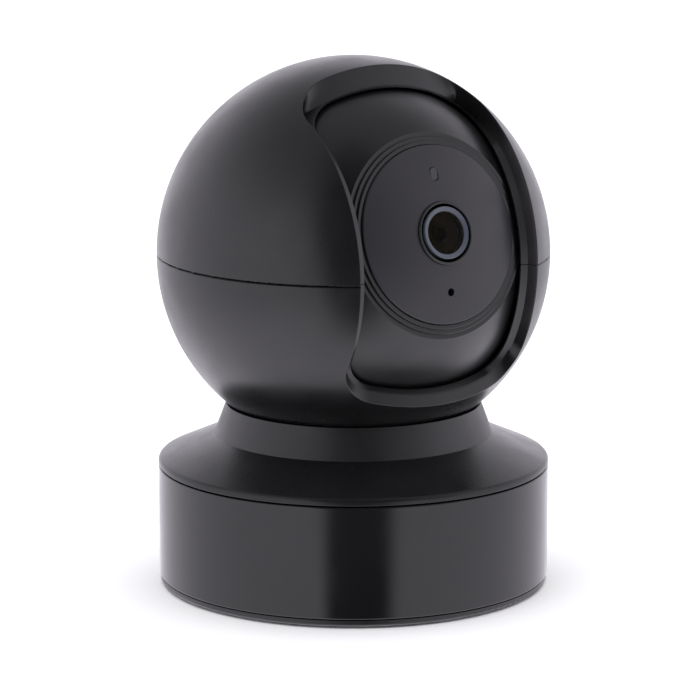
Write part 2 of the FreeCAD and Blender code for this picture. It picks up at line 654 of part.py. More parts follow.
def make_tilt_brackets():
    for side, name in ((-1, "left"), (1, "right")):
        x0, x1 = sorted((side * BRACKET_IN, side * BRACKET_OUT))
        plate = block(x0, x1, -13, 17, BRACKET_FOOT_Z, BALL_Z + 13)
        round_edges = [
            e for e in plate.Edges if e.BoundBox.XLength > 1 and e.BoundBox.ZMin > BALL_Z + 10
        ]
        plate = plate.makeFillet(9.0, round_edges)
        f0, f1 = sorted((side * BRACKET_OUT, side * (BRACKET_SCREW_X + 3.0)))
        foot = block(min(x0, f0), max(x1, f1), -13, 13, BRACKET_FOOT_Z, BRACKET_FOOT_Z + 1.6)
        bracket = plate.fuse(foot).common(ball(BALL_R - WALL - 0.3)).removeSplitter()
        bracket = bracket.cut(along_x(rod(4.6, -BIG, BIG)))
        for x, y in four_places(BRACKET_SCREW_X, BRACKET_SCREW_Y):
            bracket = bracket.cut(rod(1.2, 40, 70, x, y))
        if side > 0:
            pinion_hole = along_x(rod(4.3, 0, 60, 0, TILT_PINION_Y))
            bracket = bracket.cut(pinion_hole)
        keep(f"tilt_bracket_{name}", biggest(bracket))
    screws = [
        screw(x, y, BRACKET_FOOT_Z + 1.6 + 1.2, 6.0, r=0.85, head_r=1.8, head_h=1.2)
        for x, y in four_places(BRACKET_SCREW_X, BRACKET_SCREW_Y)
    ]
    keep("bracket_screws", *screws)
    bushes = [
        along_x(tube(4.6, AXLE_R + RUNNING, BRACKET_IN, BRACKET_OUT)),
        along_x(tube(4.6, AXLE_R + RUNNING, -BRACKET_OUT, -BRACKET_IN)),
    ]
    keep("tilt_bushes", *bushes)


def make_tilt_drive():
    motor = stepper(9.5, 9.2, TILT_PINION_Y - TILT_MOTOR_Y, 4.2, 1.2, 12.5, ear_r=2.6)
    motor.rotate(Vector(0, 0, 0), Z_AXIS, 90)
    motor.rotate(Vector(0, 0, 0), Y_AXIS, 180)  # the shaft points in, towards the drum
    motor.translate(Vector(0, TILT_MOTOR_Y, BRACKET_OUT))
    keep("tilt_motor", along_x(motor))
    z0, z1 = DRUM_HALF + 0.25, BRACKET_IN - 0.35
    pinion = gear(TILT_MODULE, PINION_TEETH, z0, z1, None, 90 + 180 / PINION_TEETH)
    pinion = pinion.fuse(rod(1.5, z1 - 0.5, BRACKET_OUT + 2.0)).removeSplitter()
    keep("tilt_pinion", along_x(pinion.translated(Vector(0, TILT_PINION_Y, 0))))
    keep("tilt_gear", along_x(gear(TILT_MODULE, TILT_TEETH, DRUM_HALF, z1, AXLE_R, 90)))
    axle_end = BRACKET_OUT - 0.15  # clear of the motor, which stands on the bracket
    keep(
        "tilt_axles",
        along_x(rod(AXLE_R, DRUM_HALF - 3.0, axle_end)),
        along_x(rod(AXLE_R, -axle_end, -DRUM_HALF + 3.0)),
    )


def make_ball_electronics():
    board = block(-21, 21, -10.5, 10.5, MAIN_BOARD_OUT - BOARD_THICK, MAIN_BOARD_OUT)
    for x, y in four_places(BOARD_STAKE_X, BOARD_STAKE_Y):
        board = board.cut(rod(1.15, 0, 40, x, y))
    keep("main_board", from_back(board))
    top = MAIN_BOARD_OUT
    parts = [
        block(-6, 6, -5, 7, top, top + 1.2),
        block(-16, -8.5, -7, 5, top, top + 1.8),
        block(9, 15.5, -7, -2, top, top + 1.0),
        block(9, 15.5, 2, 7, top, top + 2.5),
    ]
    keep("main_board_parts", *[from_back(p) for p in parts])
    basket = rod(10.0, 37.0, 39.6)
    magnet = rod(6.5, 34.9, 37.0)
    keep("speaker", from_back(basket.fuse(magnet).removeSplitter()))
    seat = tube(9.8, 8.2, 39.6, 45).common(ball(BALL_R - WALL, Vector(0, 0, 0)))
    keep("speaker_gasket", from_back(seat))
    strip = block(-BRACKET_OUT - 0.6, -BRACKET_OUT, -6, 10, BALL_Z + 5.5, BALL_Z + 11)
    keep("wifi_antenna", strip)
    switch = block(-BRACKET_OUT - 4.5, -BRACKET_OUT, -6, 6, BALL_Z - 14, BALL_Z - 8)
    keep("tilt_limit_switch", switch)


# ---------------------------------------------------------------- the camera drum


def step_height(n):
    """Height of the n-th tread, counted inwards from the outermost ring."""
    first = sqrt(DRUM_R**2 - RING_OUTER_R**2)
    seat = FACE_EDGE - 0.5
    return first + (seat - first) * n / (RING_COUNT - 1)


def drum_front_space():
    """What is cut away in front of the drum: the stepped rings and the pocket for the face plate."""
    outline = [(0, 60), (RING_OUTER_R, 60)]
    r = RING_OUTER_R
    for n in range(RING_COUNT):
        outline.append((r, step_height(n)))
        r -= RING_WIDTH
        outline.append((r, step_height(n)))
    floor = FACE_EDGE - FACE_THICK
    outline += [(r, floor), (0, floor)]
    space = turned(outline)
    treads = [*range(1, RING_COUNT), RING_COUNT - 1]
    corners = [(RING_OUTER_R - (n + 1) * RING_WIDTH, step_height(tread)) for n, tread in enumerate(treads)]

    def is_corner(edge):
        box = edge.BoundBox
        flat = box.ZLength < 1e-6
        return flat and any(abs(box.XMax - r) < 1e-3 and abs(box.ZMax - z) < 1e-3 for r, z in corners)

    return space.makeFillet(RING_ROUND, [e for e in space.Edges if is_corner(e)])


SENSOR_BOARD_Z = (14.0, 15.6)
SENSOR_POSTS = four_places(13.2, 13.2)
REAR_COVER_THICK = 1.6
REAR_SCREWS = four_places(17, 24)


def make_drum():
    slab = block(-DRUM_HALF, DRUM_HALF, -BIG, BIG, DRUM_BACK, BIG)
    outer = ball(DRUM_R, Vector(0, 0, 0)).common(slab)
    in_slab = block(-DRUM_HALF + 1.6, DRUM_HALF - 1.6, -BIG, BIG, DRUM_BACK - 5, BIG)
    inner = ball(DRUM_R - DRUM_WALL, Vector(0, 0, 0)).common(in_slab)
    seat_back = FACE_EDGE - FACE_THICK - SEAT_THICK
    inner = inner.cut(rod(SEAT_OUT, seat_back, BIG))
    shell = outer.cut(inner)
    shell = shell.cut(drum_front_space())
    shell = shell.cut(rod(SEAT_IN, 0, BIG))
    for x, y in SENSOR_POSTS:
        shell = shell.fuse(rod(1.9, SENSOR_BOARD_Z[1], seat_back + 0.3, x, y))
        shell = shell.cut(rod(0.75, 0, SENSOR_BOARD_Z[1] + 7, x, y))
    boss_low = DRUM_BACK + REAR_COVER_THICK
    for x, y in REAR_SCREWS:
        x0, x1 = sorted((x, x / abs(x) * (DRUM_HALF - 1)))
        boss = rod(2.3, boss_low, boss_low + 6.5, x, y)
        boss = boss.fuse(block(x0, x1, y - 0.8, y + 0.8, boss_low, boss_low + 6.5))
        shell = shell.fuse(boss).cut(rod(1.1, boss_low - 1, boss_low + 5, x, y))
    cross_hole = Part.makeCylinder(AXLE_R + 0.02, 2 * BIG, Vector(-BIG, 0, 0), X_AXIS)
    shell = shell.cut(cross_hole)
    side_edges = [
        e
        for e in shell.Edges
        if abs(abs(e.CenterOfMass.x) - DRUM_HALF) < 1e-3
        and abs(e.valueAt((e.FirstParameter + e.LastParameter) / 2).Length - DRUM_R) < 1e-2
    ]
    shell = shell.makeFillet(0.4, side_edges)
    keep("drum_front_shell", on_lens_axis(biggest(shell)))
    plate_r = sqrt((DRUM_R - DRUM_WALL) ** 2 - DRUM_BACK**2) - 0.15
    plate = rod(plate_r, DRUM_BACK, DRUM_BACK + REAR_COVER_THICK)
    plate = plate.common(block(-DRUM_HALF + 1.75, DRUM_HALF - 1.75, -BIG, BIG, -BIG, BIG))
    for x, y in REAR_SCREWS:
        plate = plate.cut(rod(1.2, DRUM_BACK - 1, DRUM_BACK + 3, x, y))
    plate = plate.cut(block(-8, 8, -3, 3, DRUM_BACK - 1, DRUM_BACK + 3))
    keep("drum_rear_cover", on_lens_axis(plate))
    screws = []
    for x, y in REAR_SCREWS:
        made = screw(x, -y, DRUM_BACK, 5.0, r=1.05, head_r=1.9, head_h=1.2, up=True)
        screws.append(on_lens_axis(made.translated(Vector(0, 0, -1.2))))
    keep("rear_cover_screws", *screws)


def dome_height(r):
    """Height of the face plate's front at a radius."""
    centre = FACE_EDGE - sqrt(FACE_DOME_R**2 - FACE_R**2)
    return centre + sqrt(FACE_DOME_R**2 - r * r)


def make_face():
    back = FACE_EDGE - FACE_THICK
    dome_centre = Vector(0, 0, FACE_EDGE - sqrt(FACE_DOME_R**2 - FACE_R**2))
    plate = rod(FACE_R, back, 60).common(Part.makeSphere(FACE_DOME_R, dome_centre))
    around = [e for e in plate.Edges if abs(e.BoundBox.XLength - 2 * FACE_R) < 1e-3]
    rim = [e for e in around if e.BoundBox.ZMin > back + 0.5]
    plate = plate.makeFillet(0.3, rim)
    hollow = Part.makeSphere(FACE_DOME_R - FACE_THICK, dome_centre).common(rod(FACE_R - 2.2, back - 1, 60))
    hollow = hollow.cut(rod(BEZEL_R + 2.2, 0, 60))
    hollow = hollow.cut(rod(3.3, 0, 60, 0, LIGHT_OFFSET)).cut(rod(3.0, 0, 60, 0, -MIC_OFFSET))
    plate = plate.cut(hollow).cut(rod(BEZEL_R + 0.05, 0, 60))
    plate = plate.cut(slot_hole(LIGHT_W, LIGHT_H, 0, 60, LIGHT_OFFSET))
    plate = plate.cut(rod(MIC_R, 0, 60, 0, -MIC_OFFSET))
    keep("face_plate", on_lens_axis(plate))
    bezel = tube(BEZEL_R, BEZEL_IN, back - 0.8, BEZEL_TOP)
    top = [e for e in bezel.Edges if e.BoundBox.ZMin > BEZEL_TOP - 1e-6]
    bezel = bezel.makeFillet(0.25, top)
    bezel = bezel.fuse(tube(8.6, BEZEL_IN, back - 0.8, back)).removeSplitter()
    keep("lens_bezel", on_lens_axis(bezel))
    gap, pipe_top = 0.15, dome_height(LIGHT_OFFSET) - 0.05
    pipe = slot_hole(LIGHT_W - 2 * gap, LIGHT_H - 2 * gap, back - 1.0, pipe_top, LIGHT_OFFSET)
    pipe = pipe.fuse(slot_hole(3.2, 4.6, back - 1.0, back, LIGHT_OFFSET)).removeSplitter()
    keep("indicator_light_pipe", on_lens_axis(pipe))


def make_lens():
    barrel_back, throat = 20.0, 33.0
    ring_low = LENS_TOP - 1.0
    barrel = tube(LENS_R, GLASS_R + 0.05, throat, ring_low)
    barrel = barrel.fuse(tube(LENS_R, 3.0, barrel_back, throat))
    keep("lens_barrel", on_lens_axis(barrel.removeSplitter()))
    chamfer, glass_edge = 0.12, LENS_TOP - FUNNEL_DEPTH
    outline = [
        (GLASS_R, ring_low),
        (LENS_R, ring_low),
        (LENS_R, LENS_TOP - chamfer),
        (LENS_R - chamfer, LENS_TOP),
        (GLASS_R, glass_edge),
    ]
    keep("lens_front_ring", on_lens_axis(turned(outline)))
    sag_r, glass_thick = 30.0, 1.2
    rim_r, rim_z = GLASS_R - 0.05, glass_edge - 0.05
    centre = rim_z - sqrt(sag_r**2 - rim_r**2)
    front = Part.makeSphere(sag_r, Vector(0, 0, centre)).common(rod(rim_r, rim_z - glass_thick, 60))
    keep("lens_front_glass", on_lens_axis(front))
    stop_z = rim_z - glass_thick - 1.0
    stop = tube(GLASS_R, APERTURE_R, stop_z - 0.5, stop_z)
    lip_top = stop_z + 0.25
    lip_outline = [
        (APERTURE_R, stop_z),
        (APERTURE_R + 0.35, stop_z),
        (APERTURE_R + 0.08, lip_top),
        (APERTURE_R, lip_top),
    ]
    lip = turned(lip_outline)
    keep("lens_aperture_ring", on_lens_axis(stop.fuse(lip).removeSplitter()))
    second_top = stop_z - 0.52
    second = Part.makeSphere(4.0, Vector(0, 0, second_top - 3.9)).common(rod(2.9, 27.5, second_top))
    keep("lens_inner_glass", on_lens_axis(second))
    holder = tube(7.8, LENS_R + 0.03, 18.0, 27.0)
    holder = holder.fuse(block(-8.5, 8.5, -8.5, 8.5, 15.6, 18.0).cut(block(-5, 5, -5, 5, 15, 18.5)))
    keep("lens_holder", on_lens_axis(holder.removeSplitter()))
    low, high = SENSOR_BOARD_Z
    board = block(-15, 15, -15, 15, low, high)
    for x, y in SENSOR_POSTS:
        board = board.cut(rod(0.9, 13, 17, x, y))
    keep("sensor_board", on_lens_axis(board))
    screws = [screw(x, -y, low, 6.0, r=0.7, head_r=1.5, head_h=1.0, up=True) for x, y in SENSOR_POSTS]
    keep("sensor_board_screws", *[on_lens_axis(s.translated(Vector(0, 0, -1.0))) for s in screws])
    keep("image_sensor", on_lens_axis(block(-3.6, 3.6, -3.2, 3.2, high, high + 1.2)))
    chips = [
        block(-6, 6, -6, 6, low - 1.2, low),
        block(-13, -8, -4, 4, low - 1.0, low),
        block(2, 10, -12.5, -9.5, low - 2.4, low),
    ]
    keep("sensor_board_parts", *[on_lens_axis(c) for c in chips])


def make_face_electronics():
    back = FACE_EDGE - FACE_THICK
    z0, z1 = back - 2.9, back - 1.9
    ring = tube(16.6, 9.0, z0, z1)
    keep("infrared_board", on_lens_axis(ring))
    lamps = []
    for angle in (-30, 0, 30, 150, 180, 210):
        x, y = polar(12.8, angle)
        lamp = block(x - 1.5, x + 1.5, y - 1.5, y + 1.5, z1, z1 + 0.8)
        lamp = lamp.fuse(rod(1.1, z1 + 0.8, z1 + 1.5, x, y))
        lamps.append(on_lens_axis(lamp.removeSplitter()))
    keep("infrared_lamps", *lamps)
    light = block(-1.2, 1.2, LIGHT_OFFSET - 1.0, LIGHT_OFFSET + 1.0, z1, z1 + 0.8)
    keep("indicator_led", on_lens_axis(light))
    mic = rod(2.0, z1, z1 + 1.2, 0, -MIC_OFFSET)
    seal = tube(2.2, MIC_R, z1 + 1.2, back, 0, -MIC_OFFSET)
    keep("microphone", on_lens_axis(mic))
    keep("microphone_seal", on_lens_axis(seal))


# ---------------------------------------------------------------- build and write


def main():
    make_base_shell()
    make_base_top_cover()
    make_neck_collar()
    make_bottom_cover()
    make_deck()
    make_pan_drive()
    make_base_electronics()
    make_ball_shells()
    make_tilt_brackets()
    make_tilt_drive()
    make_ball_electronics()
    make_drum()
    make_face()
    make_lens()
    make_face_electronics()
    os.makedirs("parts", exist_ok=True)
    for name, shape in PARTS.items():
        if not shape.isValid():
            print("not valid:", name)
        shape.exportStep(os.path.join("parts", name + ".step"))
        print(f"{name}: {len(shape.Solids)} solid(s), {shape.Volume:.1f} mm3")


main()
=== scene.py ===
# The looks of an indoor pan-and-tilt security camera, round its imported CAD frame.
# Metres, +Z up, the lens looks towards -Y. The CAD nodes stay where they are and get materials. The two
# half shells of the ball are built here, because their opening has a softly rounded edge.

import json
from math import cos, pi, radians, sin, sqrt

import bmesh
import bpy
import numpy as np
from mathutils import Matrix, Vector


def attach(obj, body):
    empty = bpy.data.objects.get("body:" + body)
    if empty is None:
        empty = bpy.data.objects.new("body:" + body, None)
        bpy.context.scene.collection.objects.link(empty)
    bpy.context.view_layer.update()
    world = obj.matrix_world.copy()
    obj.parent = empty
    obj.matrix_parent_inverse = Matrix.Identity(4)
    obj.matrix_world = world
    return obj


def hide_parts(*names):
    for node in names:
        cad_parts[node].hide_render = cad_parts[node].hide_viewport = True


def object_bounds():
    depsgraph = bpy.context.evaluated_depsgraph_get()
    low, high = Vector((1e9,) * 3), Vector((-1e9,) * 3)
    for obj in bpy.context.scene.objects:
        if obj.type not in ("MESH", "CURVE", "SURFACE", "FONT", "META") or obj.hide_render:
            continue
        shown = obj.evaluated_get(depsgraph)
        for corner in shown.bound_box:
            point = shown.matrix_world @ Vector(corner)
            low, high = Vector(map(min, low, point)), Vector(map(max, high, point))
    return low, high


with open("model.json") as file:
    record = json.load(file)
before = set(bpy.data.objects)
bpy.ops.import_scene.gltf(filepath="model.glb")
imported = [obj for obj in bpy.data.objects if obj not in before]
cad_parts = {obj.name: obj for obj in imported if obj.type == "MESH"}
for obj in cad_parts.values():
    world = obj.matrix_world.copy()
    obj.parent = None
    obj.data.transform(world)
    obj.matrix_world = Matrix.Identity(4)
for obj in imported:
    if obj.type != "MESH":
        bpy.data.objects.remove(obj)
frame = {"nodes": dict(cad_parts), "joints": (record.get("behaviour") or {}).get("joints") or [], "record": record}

MM = 0.001
CAD_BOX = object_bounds()
CENTRE = Vector(next(j for j in frame["joints"] if j["name"] == "drum_tilt")["pos_m"])  # of the ball

# ---------------------------------------------------------------- camera

VIEW_AZIMUTH, VIEW_ELEVATION = radians(-34.3), radians(10.91)
VIEW_DISTANCE, VIEW_HEIGHT = 0.8, 0.060
VIEW_LENS = 183.2
VIEW_SHIFT = (-0.0049, -0.0463)


def make_camera():
    towards = Vector(
        (
            sin(VIEW_AZIMUTH) * cos(VIEW_ELEVATION),
            -cos(VIEW_AZIMUTH) * cos(VIEW_ELEVATION),
            sin(VIEW_ELEVATION),
        )
    )
    data = bpy.data.cameras.new("camera")
    data.lens, data.sensor_width = VIEW_LENS, 36.0
    data.shift_x, data.shift_y = VIEW_SHIFT
    data.clip_start, data.clip_end = 0.05, 20.0
    camera = bpy.data.objects.new("camera", data)
    camera.location = Vector((0, 0, VIEW_HEIGHT)) + towards * VIEW_DISTANCE
    camera.rotation_mode = "QUATERNION"
    camera.rotation_quaternion = (-towards).to_track_quat("-Z", "Y")
    bpy.context.scene.collection.objects.link(camera)
    bpy.context.scene.camera = camera


# ---------------------------------------------------------------- node helpers


class Nodes:
    """A short way to write a node tree."""

    def __init__(self, tree):
        self.tree = tree
        tree.nodes.clear()

    def add(self, kind, **settings):
        node = self.tree.nodes.new(kind)
        for key, value in settings.items():
            setattr(node, key, value)
        return node

    def link(self, out, into):
        self.tree.links.new(out, into)

    def value(self, operation, a, b=None):
        """A Math node. a and b are sockets or numbers."""
        node = self.add("ShaderNodeMath", operation=operation)
        for socket, item in zip(node.inputs, (a, b)):
            if item is None:
                continue
            if isinstance(item, (int, float)):
                socket.default_value = item
            else:
                self.link(item, socket)
        return node.outputs[0]

    def ramp(self, item, low, high, to_low=0.0, to_high=1.0):
        """A smooth step of a value from one range to another."""
        node = self.add("ShaderNodeMapRange", interpolation_type="SMOOTHSTEP")
        self.link(item, node.inputs["Value"])
        for key, number in (("From Min", low), ("From Max", high), ("To Min", to_low), ("To Max", to_high)):
            node.inputs[key].default_value = number
        return node.outputs["Result"]

    def noise(self, scale, detail=2.0, roughness=0.5, stretch=(1, 1, 1), offset=(0, 0, 0)):
        """Noise in the object's own metres."""
        place = self.add("ShaderNodeTexCoord")
        mapping = self.add("ShaderNodeMapping")
        mapping.inputs["Scale"].default_value = stretch
        mapping.inputs["Location"].default_value = offset
        self.link(place.outputs["Object"], mapping.inputs["Vector"])
        texture = self.add("ShaderNodeTexNoise")
        texture.inputs["Scale"].default_value = scale
        texture.inputs["Detail"].default_value = detail
        texture.inputs["Roughness"].default_value = roughness
        self.link(mapping.outputs["Vector"], texture.inputs["Vector"])
        return texture.outputs["Fac"]

    def blend(self, factor, one, other):
        """A colour between two colours."""
        node = self.add("ShaderNodeMix", data_type="RGBA")
        self.link(factor, node.inputs["Factor"])
        node.inputs["A"].default_value = (*one, 1)
        node.inputs["B"].default_value = (*other, 1)
        return node.outputs["Result"]


def new_material(name):
    material = bpy.data.materials.new(name)
    material.use_nodes = True
    nodes = Nodes(material.node_tree)
    shader = nodes.add("ShaderNodeBsdfPrincipled")
    output = nodes.add("ShaderNodeOutputMaterial")
    nodes.link(shader.outputs["BSDF"], output.inputs["Surface"])
    return material, nodes, shader


def set_sockets(shader, **values):
    for key, value in values.items():
        shader.inputs[key.replace("_", " ")].default_value = value


# ---------------------------------------------------------------- materials

NOISE_RANGE = (0.3, 0.7)  # what most of a noise texture's values lie between
COLOUR_DRIFT, GLOSS_DRIFT = 45, 45 * 2.3  # scales of the slow changes over moulded plastic
MOULDED_SPREAD, METAL_SPREAD = 0.04, 0.07  # how far the roughness strays


def moulded(name, colour, other, rough, grain=2600, depth=0.006, **sockets):
    """Moulded plastic or rubber: a fine grain in the surface, a slow drift in colour and in gloss.
    depth is the grain's height in millimetres."""
    material, nodes, shader = new_material(name)
    drift = nodes.ramp(nodes.noise(COLOUR_DRIFT, 3.0), *NOISE_RANGE)
    nodes.link(nodes.blend(drift, colour, other), shader.inputs["Base Color"])
    patches = nodes.noise(GLOSS_DRIFT, 4.0, offset=(3, 1, 2))
    gloss = nodes.ramp(patches, *NOISE_RANGE, rough - MOULDED_SPREAD, rough + MOULDED_SPREAD)
    nodes.link(gloss, shader.inputs["Roughness"])
    bump = nodes.add("ShaderNodeBump")
    bump.inputs["Strength"].default_value = 1.0
    bump.inputs["Distance"].default_value = depth * MM
    nodes.link(nodes.noise(grain, 3.0, 0.6), bump.inputs["Height"])
    nodes.link(bump.outputs["Normal"], shader.inputs["Normal"])
    set_sockets(shader, **sockets)
    return material


def metal(name, colour, other, rough, stretch=(1, 1, 1), depth=0.002):
    """Plated or brushed metal: fine scratches along one direction."""
    material, nodes, shader = new_material(name)
    streaks = nodes.noise(900, 4.0, 0.65, stretch=stretch)
    nodes.link(nodes.blend(nodes.ramp(streaks, *NOISE_RANGE), colour, other), shader.inputs["Base Color"])
    gloss = nodes.ramp(streaks, *NOISE_RANGE, rough - METAL_SPREAD, rough + METAL_SPREAD)
    nodes.link(gloss, shader.inputs["Roughness"])
    bump = nodes.add("ShaderNodeBump")
    bump.inputs["Distance"].default_value = depth * MM
    nodes.link(streaks, bump.inputs["Height"])
    nodes.link(bump.outputs["Normal"], shader.inputs["Normal"])
    set_sockets(shader, Metallic=1.0)
    return material


def circuit_board(name):
    """Green solder mask with raised tracks and small tinned pads."""
    material, nodes, shader = new_material(name)
    place = nodes.add("ShaderNodeTexCoord")
    tracks = nodes.add("ShaderNodeTexBrick", offset=0.5)
    tracks.inputs["Scale"].default_value = 160
    tracks.inputs["Mortar Size"].default_value = 0.06
    nodes.link(place.outputs["Object"], tracks.inputs["Vector"])
    cells = nodes.add("ShaderNodeTexVoronoi")
    cells.inputs["Scale"].default_value = 420
    nodes.link(place.outputs["Object"], cells.inputs["Vector"])
    pad = nodes.ramp(cells.outputs["Distance"], 0.20, 0.15)
    mask = nodes.blend(nodes.noise(300, 2.0), (0.010, 0.075, 0.028), (0.014, 0.105, 0.040))
    tracked = nodes.add("ShaderNodeMix", data_type="RGBA")
    nodes.link(tracks.outputs["Fac"], tracked.inputs["Factor"])
    nodes.link(mask, tracked.inputs["A"])
    tracked.inputs["B"].default_value = (0.030, 0.170, 0.060, 1)
    padded = nodes.add("ShaderNodeMix", data_type="RGBA")
    nodes.link(pad, padded.inputs["Factor"])
    nodes.link(tracked.outputs["Result"], padded.inputs["A"])
    padded.inputs["B"].default_value = (0.55, 0.53, 0.47, 1)
    nodes.link(padded.outputs["Result"], shader.inputs["Base Color"])
    nodes.link(nodes.value("MULTIPLY", pad, 0.9), shader.inputs["Metallic"])
    bump = nodes.add("ShaderNodeBump")
    bump.inputs["Distance"].default_value = 0.03 * MM
    nodes.link(tracks.outputs["Fac"], bump.inputs["Height"])
    nodes.link(bump.outputs["Normal"], shader.inputs["Normal"])
    nodes.link(nodes.ramp(nodes.noise(500), *NOISE_RANGE, 0.28, 0.4), shader.inputs["Roughness"])
    return material


def coated_glass(name, tint, other, rough=0.03, **sockets):
    """Dark coated lens glass. The coating's colour drifts a little."""
    material, nodes, shader = new_material(name)
    drift = nodes.ramp(nodes.noise(120, 1.0), *NOISE_RANGE)
    nodes.link(nodes.blend(drift, tint, other), shader.inputs["Base Color"])
    gloss = nodes.ramp(nodes.noise(800), *NOISE_RANGE, rough, rough * 1.6)
    nodes.link(gloss, shader.inputs["Roughness"])
    set_sockets(shader, **sockets)
    return material


def make_materials():
    """One material for each of the record's slots, and one for the shoulder."""
    black, black_2 = (0.0062, 0.0061, 0.0066), (0.0078, 0.0077, 0.0083)
    return {
        "base_plastic": moulded("base_plastic", black, black_2, 0.15, depth=0.0012),
        "shoulder": moulded("shoulder", black, black_2, 0.27, depth=0.004, Specular_IOR_Level=0.36),
        "collar_plastic": moulded(
            "collar_plastic", (0.0105, 0.0104, 0.0112), (0.0130, 0.0128, 0.0138), 0.40
        ),
        "under_plastic": moulded("under_plastic", black, black_2, 0.38, grain=1800, depth=0.010),
        "ball_plastic": moulded("ball_plastic", black, black_2, 0.30, depth=0.0025),
        "drum_plastic": moulded("drum_plastic", (0.0060, 0.0060, 0.0064), black, 0.33, depth=0.0025),
        "face_plastic": moulded(
            "face_plastic", (0.014, 0.0135, 0.017), (0.018, 0.017, 0.021), 0.36, depth=0.003
        ),
        "bezel_plastic": moulded("bezel_plastic", black, black_2, 0.22, depth=0.001),
        "lens_ring_metal": moulded(
            "lens_ring_metal", (0.055, 0.066, 0.088), (0.066, 0.078, 0.102), 0.40, grain=4200, depth=0.002
        ),
        "light_pipe": moulded(
            "light_pipe", (0.020, 0.020, 0.024), (0.028, 0.028, 0.033), 0.24, depth=0.001
        ),
        "lens_glass": coated_glass(
            "lens_glass", (0.34, 0.29, 0.18), (0.40, 0.34, 0.22), Transmission_Weight=1.0, IOR=1.14
        ),
        "lens_black": moulded(
            "lens_black", (0.004, 0.004, 0.004), (0.006, 0.006, 0.006), 0.36, Specular_IOR_Level=0.3
        ),
        "foot_rubber": moulded(
            "foot_rubber", (0.011, 0.011, 0.011), (0.016, 0.016, 0.016), 0.78, grain=1500, depth=0.03
        ),
        "screw_steel": metal("screw_steel", (0.42, 0.42, 0.43), (0.55, 0.55, 0.56), 0.30),
        "inner_plastic": moulded(
            "inner_plastic", (0.022, 0.022, 0.023), (0.030, 0.030, 0.031), 0.48, depth=0.012
        ),
        "gear_acetal": moulded(
            "gear_acetal",
            (0.62, 0.61, 0.57),
            (0.70, 0.69, 0.65),
            0.34,
            Subsurface_Weight=0.1,
            Subsurface_Scale=0.001,
        ),
        "motor_steel": metal(
            "motor_steel", (0.40, 0.41, 0.42), (0.52, 0.53, 0.54), 0.34, stretch=(1, 1, 8)
        ),
        "board_green": circuit_board("board_green"),
        "chip_black": moulded("chip_black", (0.014, 0.014, 0.015), (0.022, 0.022, 0.023), 0.56, grain=5200),
        "lamp_clear": coated_glass(
            "lamp_clear", (0.60, 0.60, 0.56), (0.72, 0.72, 0.68), rough=0.08, Transmission_Weight=0.8
        ),
    }


def paint_nodes(materials):
    """Gives every CAD node the material of its slot. The shoulder has a deeper grain than the wall."""
    for entry in frame["record"]["subparts"]:
        for place in frame["nodes"][entry["node"]].material_slots:
            place.material = materials[entry["material_slot"]]
    for place in frame["nodes"]["base_top_cover"].material_slots:
        place.material = materials["shoulder"]


# ---------------------------------------------------------------- light and floor


ROOM_TINT = (1.0, 0.965, 1.055)
SIDE_LEVEL = 1.28  # at the horizon
TABLE_LEVEL = 1.75  # below it, where the object mirrors what it stands on
TOP_LEVEL = 0.40  # overhead
SHADE_LEVEL = 0.03  # the dim strip behind the viewer
SHADE_TURN = radians(3.3)  # how far the strip's middle is from the viewer
SHADE_EDGES = (radians(25), radians(15))  # its soft edge, from the middle
SHADE_SPREAD, SHADE_SPREAD_FROM = 0.10, 0.19  # how much wider it gets with height, from how far down
SHADE_FLOOR = (-0.76, -0.54)  # its soft lower end, as the sine of the elevation
SCREEN_AZIMUTH, SCREEN_ELEVATION = VIEW_AZIMUTH + radians(46), radians(15)  # the screen's middle
SCREEN_LEVEL = 0.40
SCREEN_EDGES = (radians(27), radians(6))  # its soft edge, from the middle
UPPER_FADE = (radians(12), radians(68))  # the elevations that the side light fades between, upwards
TABLE_FADE = (radians(16), radians(36))  # the same below the horizon, for the table's light
KEY_HEIGHT, KEY_SIZE, KEY_POWER = 1.6, 3.0, 46.0


